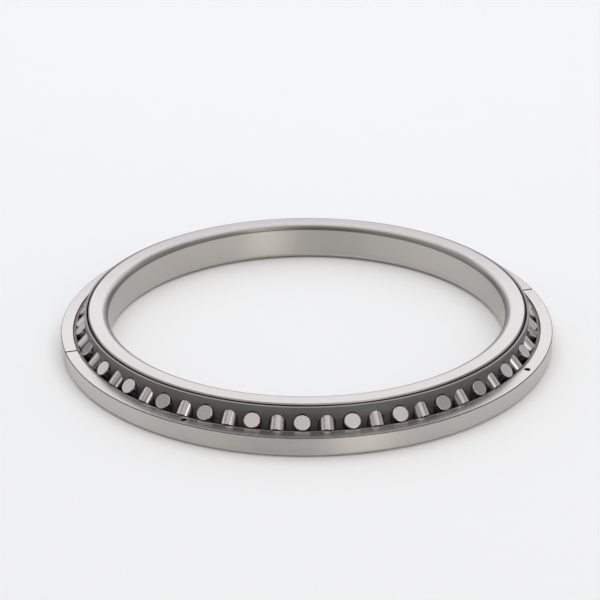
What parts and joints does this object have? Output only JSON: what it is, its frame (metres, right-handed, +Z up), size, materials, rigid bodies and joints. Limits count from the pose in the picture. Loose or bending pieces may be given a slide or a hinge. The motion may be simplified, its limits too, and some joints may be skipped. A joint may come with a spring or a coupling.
{
  "type": "crossed roller bearing",
  "caption": "Crossed roller bearing lying open: a V-grooved inner ring, a pocketed cage of crossed cylindrical rollers and the lower half of a split outer ring.",
  "frame": {"origin": "bearing axis at the level of the lower faces", "axes": "+Z up along the bearing axis, -Y towards the viewer of the picture"},
  "size_m": [0.31, 0.31, 0.025],
  "materials": {
    "ring_steel": "satin ground",
    "roller_steel": "finely ground",
    "cage_steel": "dark, oiled"
  },
  "bodies": {
    "outer_ring": {"outer_ring_front": "ring_steel", "outer_ring_rear": "ring_steel"},
    "inner_ring": {"inner_ring": "ring_steel"},
    "cage": {"cage": "cage_steel", "rear_rollers": "roller_steel"},
    "roller_01": {"roller_01": "roller_steel"},
    "roller_02": {"roller_02": "roller_steel"},
    "roller_03": {"roller_03": "roller_steel"},
    "roller_04": {"roller_04": "roller_steel"},
    "roller_05": {"roller_05": "roller_steel"},
    "roller_06": {"roller_06": "roller_steel"},
    "roller_07": {"roller_07": "roller_steel"},
    "roller_08": {"roller_08": "roller_steel"},
    "roller_09": {"roller_09": "roller_steel"},
    "roller_10": {"roller_10": "roller_steel"},
    "roller_11": {"roller_11": "roller_steel"},
    "roller_12": {"roller_12": "roller_steel"},
    "roller_13": {"roller_13": "roller_steel"},
    "roller_14": {"roller_14": "roller_steel"},
    "roller_15": {"roller_15": "roller_steel"},
    "roller_16": {"roller_16": "roller_steel"},
    "roller_17": {"roller_17": "roller_steel"},
    "roller_18": {"roller_18": "roller_steel"},
    "roller_19": {"roller_19": "roller_steel"},
    "roller_20": {"roller_20": "roller_steel"},
    "roller_21": {"roller_21": "roller_steel"},
    "roller_22": {"roller_22": "roller_steel"},
    "roller_23": {"roller_23": "roller_steel"},
    "roller_24": {"roller_24": "roller_steel"},
    "roller_25": {"roller_25": "roller_steel"},
    "roller_26": {"roller_26": "roller_steel"},
    "roller_27": {"roller_27": "roller_steel"},
    "roller_28": {"roller_28": "roller_steel"},
    "roller_36": {"roller_36": "roller_steel"},
    "roller_37": {"roller_37": "roller_steel"},
    "roller_38": {"roller_38": "roller_steel"},
    "roller_39": {"roller_39": "roller_steel"},
    "roller_40": {"roller_40": "roller_steel"},
    "roller_41": {"roller_41": "roller_steel"},
    "roller_42": {"roller_42": "roller_steel"},
    "roller_43": {"roller_43": "roller_steel"},
    "roller_44": {"roller_44": "roller_steel"},
    "roller_45": {"roller_45": "roller_steel"},
    "roller_46": {"roller_46": "roller_steel"},
    "roller_47": {"roller_47": "roller_steel"},
    "roller_48": {"roller_48": "roller_steel"},
    "roller_49": {"roller_49": "roller_steel"},
    "roller_50": {"roller_50": "roller_steel"},
    "roller_51": {"roller_51": "roller_steel"},
    "roller_52": {"roller_52": "roller_steel"},
    "roller_53": {"roller_53": "roller_steel"},
    "roller_54": {"roller_54": "roller_steel"},
    "roller_55": {"roller_55": "roller_steel"},
    "roller_56": {"roller_56": "roller_steel"},
    "roller_57": {"roller_57": "roller_steel"},
    "roller_58": {"roller_58": "roller_steel"},
    "roller_59": {"roller_59": "roller_steel"},
    "roller_60": {"roller_60": "roller_steel"},
    "roller_61": {"roller_61": "roller_steel"},
    "roller_62": {"roller_62": "roller_steel"}
  },
  "joints": [
    {"name": "inner_ring_spin", "type": "hinge", "parent": "outer_ring", "child": "inner_ring", "pos_m": [0, 0, 0.0125], "axis": [0, 0, 1], "continuous": true},
    {"name": "cage_orbit", "type": "hinge", "parent": "outer_ring", "child": "cage", "pos_m": [0, 0, 0.0125], "axis": [0, 0, 1], "continuous": true},
    {"name": "roller_01_spin", "type": "hinge", "parent": "cage", "child": "roller_01", "pos_m": [-0.00268, -0.13937, 0.0125], "axis": [-0.0136, -0.707, 0.7071], "continuous": true},
    {"name": "roller_02_spin", "type": "hinge", "parent": "cage", "child": "roller_02", "pos_m": [0.01144, -0.13893, 0.0125], "axis": [0.058, -0.7047, -0.7071], "continuous": true},
    {"name": "roller_03_spin", "type": "hinge", "parent": "cage", "child": "roller_03", "pos_m": [0.02543, -0.13706, 0.0125], "axis": [0.129, -0.6952, 0.7071], "continuous": true},
    {"name": "roller_04_spin", "type": "hinge", "parent": "cage", "child": "roller_04", "pos_m": [0.03917, -0.13378, 0.0125], "axis": [0.1987, -0.6786, -0.7071], "continuous": true},
    {"name": "roller_05_spin", "type": "hinge", "parent": "cage", "child": "roller_05", "pos_m": [0.0525, -0.12913, 0.0125], "axis": [0.2663, -0.655, 0.7071], "continuous": true},
    {"name": "roller_06_spin", "type": "hinge", "parent": "cage", "child": "roller_06", "pos_m": [0.0653, -0.12316, 0.0125], "axis": [0.3312, -0.6247, -0.7071], "continuous": true},
    {"name": "roller_07_spin", "type": "hinge", "parent": "cage", "child": "roller_07", "pos_m": [0.07742, -0.11592, 0.0125], "axis": [0.3927, -0.588, 0.7071], "continuous": true},
    {"name": "roller_08_spin", "type": "hinge", "parent": "cage", "child": "roller_08", "pos_m": [0.08875, -0.10749, 0.0125], "axis": [0.4502, -0.5453, -0.7071], "continuous": true},
    {"name": "roller_09_spin", "type": "hinge", "parent": "cage", "child": "roller_09", "pos_m": [0.09917, -0.09796, 0.0125], "axis": [0.5031, -0.4969, 0.7071], "continuous": true},
    {"name": "roller_10_spin", "type": "hinge", "parent": "cage", "child": "roller_10", "pos_m": [0.10858, -0.08743, 0.0125], "axis": [0.5508, -0.4435, -0.7071], "continuous": true},
    {"name": "roller_11_spin", "type": "hinge", "parent": "cage", "child": "roller_11", "pos_m": [0.11686, -0.076, 0.0125], "axis": [0.5928, -0.3855, 0.7071], "continuous": true},
    {"name": "roller_12_spin", "type": "hinge", "parent": "cage", "child": "roller_12", "pos_m": [0.12395, -0.06378, 0.0125], "axis": [0.6287, -0.3235, -0.7071], "continuous": true},
    {"name": "roller_13_spin", "type": "hinge", "parent": "cage", "child": "roller_13", "pos_m": [0.12977, -0.05091, 0.0125], "axis": [0.6583, -0.2583, 0.7071], "continuous": true},
    {"name": "roller_14_spin", "type": "hinge", "parent": "cage", "child": "roller_14", "pos_m": [0.13425, -0.03753, 0.0125], "axis": [0.681, -0.1903, -0.7071], "continuous": true},
    {"name": "roller_15_spin", "type": "hinge", "parent": "cage", "child": "roller_15", "pos_m": [0.13736, -0.02375, 0.0125], "axis": [0.6968, -0.1205, 0.7071], "continuous": true},
    {"name": "roller_16_spin", "type": "hinge", "parent": "cage", "child": "roller_16", "pos_m": [0.13906, -0.00973, 0.0125], "axis": [0.7054, -0.0494, -0.7071], "continuous": true},
    {"name": "roller_17_spin", "type": "hinge", "parent": "cage", "child": "roller_17", "pos_m": [0.13933, 0.00439, 0.0125], "axis": [0.7068, 0.0223, 0.7071], "continuous": true},
    {"name": "roller_18_spin", "type": "hinge", "parent": "cage", "child": "roller_18", "pos_m": [0.13817, 0.01846, 0.0125], "axis": [0.7009, 0.0936, -0.7071], "continuous": true},
    {"name": "roller_19_spin", "type": "hinge", "parent": "cage", "child": "roller_19", "pos_m": [0.1356, 0.03234, 0.0125], "axis": [0.6878, 0.1641, 0.7071], "continuous": true},
    {"name": "roller_20_spin", "type": "hinge", "parent": "cage", "child": "roller_20", "pos_m": [0.13163, 0.0459, 0.0125], "axis": [0.6677, 0.2328, -0.7071], "continuous": true},
    {"name": "roller_21_spin", "type": "hinge", "parent": "cage", "child": "roller_21", "pos_m": [0.12631, 0.05898, 0.0125], "axis": [0.6407, 0.2992, 0.7071], "continuous": true},
    {"name": "roller_22_spin", "type": "hinge", "parent": "cage", "child": "roller_22", "pos_m": [0.11969, 0.07145, 0.0125], "axis": [0.6072, 0.3624, -0.7071], "continuous": true},
    {"name": "roller_23_spin", "type": "hinge", "parent": "cage", "child": "roller_23", "pos_m": [0.11185, 0.0832, 0.0125], "axis": [0.5674, 0.422, 0.7071], "continuous": true},
    {"name": "roller_24_spin", "type": "hinge", "parent": "cage", "child": "roller_24", "pos_m": [0.10286, 0.09408, 0.0125], "axis": [0.5218, 0.4772, -0.7071], "continuous": true},
    {"name": "roller_25_spin", "type": "hinge", "parent": "cage", "child": "roller_25", "pos_m": [0.09282, 0.10401, 0.0125], "axis": [0.4708, 0.5276, 0.7071], "continuous": true},
    {"name": "roller_26_spin", "type": "hinge", "parent": "cage", "child": "roller_26", "pos_m": [0.08182, 0.11286, 0.0125], "axis": [0.415, 0.5725, -0.7071], "continuous": true},
    {"name": "roller_27_spin", "type": "hinge", "parent": "cage", "child": "roller_27", "pos_m": [0.06998, 0.12056, 0.0125], "axis": [0.355, 0.6116, 0.7071], "continuous": true},
    {"name": "roller_28_spin", "type": "hinge", "parent": "cage", "child": "roller_28", "pos_m": [0.05742, 0.12702, 0.0125], "axis": [0.2913, 0.6443, -0.7071], "continuous": true},
    {"name": "roller_36_spin", "type": "hinge", "parent": "cage", "child": "roller_36", "pos_m": [-0.0525, 0.12913, 0.0125], "axis": [-0.2663, 0.655, -0.7071], "continuous": true},
    {"name": "roller_37_spin", "type": "hinge", "parent": "cage", "child": "roller_37", "pos_m": [-0.0653, 0.12316, 0.0125], "axis": [-0.3312, 0.6247, 0.7071], "continuous": true},
    {"name": "roller_38_spin", "type": "hinge", "parent": "cage", "child": "roller_38", "pos_m": [-0.07742, 0.11592, 0.0125], "axis": [-0.3927, 0.588, -0.7071], "continuous": true},
    {"name": "roller_39_spin", "type": "hinge", "parent": "cage", "child": "roller_39", "pos_m": [-0.08875, 0.10749, 0.0125], "axis": [-0.4502, 0.5453, 0.7071], "continuous": true},
    {"name": "roller_40_spin", "type": "hinge", "parent": "cage", "child": "roller_40", "pos_m": [-0.09917, 0.09796, 0.0125], "axis": [-0.5031, 0.4969, -0.7071], "continuous": true},
    {"name": "roller_41_spin", "type": "hinge", "parent": "cage", "child": "roller_41", "pos_m": [-0.10858, 0.08743, 0.0125], "axis": [-0.5508, 0.4435, 0.7071], "continuous": true},
    {"name": "roller_42_spin", "type": "hinge", "parent": "cage", "child": "roller_42", "pos_m": [-0.11686, 0.076, 0.0125], "axis": [-0.5928, 0.3855, -0.7071], "continuous": true},
    {"name": "roller_43_spin", "type": "hinge", "parent": "cage", "child": "roller_43", "pos_m": [-0.12395, 0.06378, 0.0125], "axis": [-0.6287, 0.3235, 0.7071], "continuous": true},
    {"name": "roller_44_spin", "type": "hinge", "parent": "cage", "child": "roller_44", "pos_m": [-0.12977, 0.05091, 0.0125], "axis": [-0.6583, 0.2583, -0.7071], "continuous": true},
    {"name": "roller_45_spin", "type": "hinge", "parent": "cage", "child": "roller_45", "pos_m": [-0.13425, 0.03753, 0.0125], "axis": [-0.681, 0.1903, 0.7071], "continuous": true},
    {"name": "roller_46_spin", "type": "hinge", "parent": "cage", "child": "roller_46", "pos_m": [-0.13736, 0.02375, 0.0125], "axis": [-0.6968, 0.1205, -0.7071], "continuous": true},
    {"name": "roller_47_spin", "type": "hinge", "parent": "cage", "child": "roller_47", "pos_m": [-0.13906, 0.00973, 0.0125], "axis": [-0.7054, 0.0494, 0.7071], "continuous": true},
    {"name": "roller_48_spin", "type": "hinge", "parent": "cage", "child": "roller_48", "pos_m": [-0.13933, -0.00439, 0.0125], "axis": [-0.7068, -0.0223, -0.7071], "continuous": true},
    {"name": "roller_49_spin", "type": "hinge", "parent": "cage", "child": "roller_49", "pos_m": [-0.13817, -0.01846, 0.0125], "axis": [-0.7009, -0.0936, 0.7071], "continuous": true},
    {"name": "roller_50_spin", "type": "hinge", "parent": "cage", "child": "roller_50", "pos_m": [-0.1356, -0.03234, 0.0125], "axis": [-0.6878, -0.1641, -0.7071], "continuous": true},
    {"name": "roller_51_spin", "type": "hinge", "parent": "cage", "child": "roller_51", "pos_m": [-0.13163, -0.0459, 0.0125], "axis": [-0.6677, -0.2328, 0.7071], "continuous": true},
    {"name": "roller_52_spin", "type": "hinge", "parent": "cage", "child": "roller_52", "pos_m": [-0.12631, -0.05898, 0.0125], "axis": [-0.6407, -0.2992, -0.7071], "continuous": true},
    {"name": "roller_53_spin", "type": "hinge", "parent": "cage", "child": "roller_53", "pos_m": [-0.11969, -0.07145, 0.0125], "axis": [-0.6072, -0.3624, 0.7071], "continuous": true},
    {"name": "roller_54_spin", "type": "hinge", "parent": "cage", "child": "roller_54", "pos_m": [-0.11185, -0.0832, 0.0125], "axis": [-0.5674, -0.422, -0.7071], "continuous": true},
    {"name": "roller_55_spin", "type": "hinge", "parent": "cage", "child": "roller_55", "pos_m": [-0.10286, -0.09408, 0.0125], "axis": [-0.5218, -0.4772, 0.7071], "continuous": true},
    {"name": "roller_56_spin", "type": "hinge", "parent": "cage", "child": "roller_56", "pos_m": [-0.09282, -0.10401, 0.0125], "axis": [-0.4708, -0.5276, -0.7071], "continuous": true},
    {"name": "roller_57_spin", "type": "hinge", "parent": "cage", "child": "roller_57", "pos_m": [-0.08182, -0.11286, 0.0125], "axis": [-0.415, -0.5725, 0.7071], "continuous": true},
    {"name": "roller_58_spin", "type": "hinge", "parent": "cage", "child": "roller_58", "pos_m": [-0.06998, -0.12056, 0.0125], "axis": [-0.355, -0.6116, -0.7071], "continuous": true},
    {"name": "roller_59_spin", "type": "hinge", "parent": "cage", "child": "roller_59", "pos_m": [-0.05742, -0.12702, 0.0125], "axis": [-0.2913, -0.6443, 0.7071], "continuous": true},
    {"name": "roller_60_spin", "type": "hinge", "parent": "cage", "child": "roller_60", "pos_m": [-0.04428, -0.13218, 0.0125], "axis": [-0.2246, -0.6705, -0.7071], "continuous": true},
    {"name": "roller_61_spin", "type": "hinge", "parent": "cage", "child": "roller_61", "pos_m": [-0.03068, -0.13598, 0.0125], "axis": [-0.1556, -0.6898, 0.7071], "continuous": true},
    {"name": "roller_62_spin", "type": "hinge", "parent": "cage", "child": "roller_62", "pos_m": [-0.01676, -0.13839, 0.0125], "axis": [-0.085, -0.702, -0.7071], "continuous": true}
  ],
  "couplings": [
    {"joint": "cage_orbit", "follows": "inner_ring_spin", "ratio": 0.48783},
    {"joint": "roller_01_spin", "follows": "inner_ring_spin", "ratio": -14.512},
    {"joint": "roller_02_spin", "follows": "inner_ring_spin", "ratio": 14.512},
    {"joint": "roller_03_spin", "follows": "inner_ring_spin", "ratio": -14.512},
    {"joint": "roller_04_spin", "follows": "inner_ring_spin", "ratio": 14.512},
    {"joint": "roller_05_spin", "follows": "inner_ring_spin", "ratio": -14.512},
    {"joint": "roller_06_spin", "follows": "inner_ring_spin", "ratio": 14.512},
    {"joint": "roller_07_spin", "follows": "inner_ring_spin", "ratio": -14.512},
    {"joint": "roller_08_spin", "follows": "inner_ring_spin", "ratio": 14.512},
    {"joint": "roller_09_spin", "follows": "inner_ring_spin", "ratio": -14.512},
    {"joint": "roller_10_spin", "follows": "inner_ring_spin", "ratio": 14.512},
    {"joint": "roller_11_spin", "follows": "inner_ring_spin", "ratio": -14.512},
    {"joint": "roller_12_spin", "follows": "inner_ring_spin", "ratio": 14.512},
    {"joint": "roller_13_spin", "follows": "inner_ring_spin", "ratio": -14.512},
    {"joint": "roller_14_spin", "follows": "inner_ring_spin", "ratio": 14.512},
    {"joint": "roller_15_spin", "follows": "inner_ring_spin", "ratio": -14.512},
    {"joint": "roller_16_spin", "follows": "inner_ring_spin", "ratio": 14.512},
    {"joint": "roller_17_spin", "follows": "inner_ring_spin", "ratio": -14.512},
    {"joint": "roller_18_spin", "follows": "inner_ring_spin", "ratio": 14.512},
    {"joint": "roller_19_spin", "follows": "inner_ring_spin", "ratio": -14.512},
    {"joint": "roller_20_spin", "follows": "inner_ring_spin", "ratio": 14.512},
    {"joint": "roller_21_spin", "follows": "inner_ring_spin", "ratio": -14.512},
    {"joint": "roller_22_spin", "follows": "inner_ring_spin", "ratio": 14.512},
    {"joint": "roller_23_spin", "follows": "inner_ring_spin", "ratio": -14.512},
    {"joint": "roller_24_spin", "follows": "inner_ring_spin", "ratio": 14.512},
    {"joint": "roller_25_spin", "follows": "inner_ring_spin", "ratio": -14.512},
    {"joint": "roller_26_spin", "follows": "inner_ring_spin", "ratio": 14.512},
    {"joint": "roller_27_spin", "follows": "inner_ring_spin", "ratio": -14.512},
    {"joint": "roller_28_spin", "follows": "inner_ring_spin", "ratio": 14.512},
    {"joint": "roller_36_spin", "follows": "inner_ring_spin", "ratio": 14.512},
    {"joint": "roller_37_spin", "follows": "inner_ring_spin", "ratio": -14.512},
    {"joint": "roller_38_spin", "follows": "inner_ring_spin", "ratio": 14.512},
    {"joint": "roller_39_spin", "follows": "inner_ring_spin", "ratio": -14.512},
    {"joint": "roller_40_spin", "follows": "inner_ring_spin", "ratio": 14.512},
    {"joint": "roller_41_spin", "follows": "inner_ring_spin", "ratio": -14.512},
    {"joint": "roller_42_spin", "follows": "inner_ring_spin", "ratio": 14.512},
    {"joint": "roller_43_spin", "follows": "inner_ring_spin", "ratio": -14.512},
    {"joint": "roller_44_spin", "follows": "inner_ring_spin", "ratio": 14.512},
    {"joint": "roller_45_spin", "follows": "inner_ring_spin", "ratio": -14.512},
    {"joint": "roller_46_spin", "follows": "inner_ring_spin", "ratio": 14.512},
    {"joint": "roller_47_spin", "follows": "inner_ring_spin", "ratio": -14.512},
    {"joint": "roller_48_spin", "follows": "inner_ring_spin", "ratio": 14.512},
    {"joint": "roller_49_spin", "follows": "inner_ring_spin", "ratio": -14.512},
    {"joint": "roller_50_spin", "follows": "inner_ring_spin", "ratio": 14.512},
    {"joint": "roller_51_spin", "follows": "inner_ring_spin", "ratio": -14.512},
    {"joint": "roller_52_spin", "follows": "inner_ring_spin", "ratio": 14.512},
    {"joint": "roller_53_spin", "follows": "inner_ring_spin", "ratio": -14.512},
    {"joint": "roller_54_spin", "follows": "inner_ring_spin", "ratio": 14.512},
    {"joint": "roller_55_spin", "follows": "inner_ring_spin", "ratio": -14.512},
    {"joint": "roller_56_spin", "follows": "inner_ring_spin", "ratio": 14.512},
    {"joint": "roller_57_spin", "follows": "inner_ring_spin", "ratio": -14.512},
    {"joint": "roller_58_spin", "follows": "inner_ring_spin", "ratio": 14.512},
    {"joint": "roller_59_spin", "follows": "inner_ring_spin", "ratio": -14.512},
    {"joint": "roller_60_spin", "follows": "inner_ring_spin", "ratio": 14.512},
    {"joint": "roller_61_spin", "follows": "inner_ring_spin", "ratio": -14.512},
    {"joint": "roller_62_spin", "follows": "inner_ring_spin", "ratio": 14.512}
  ]
}
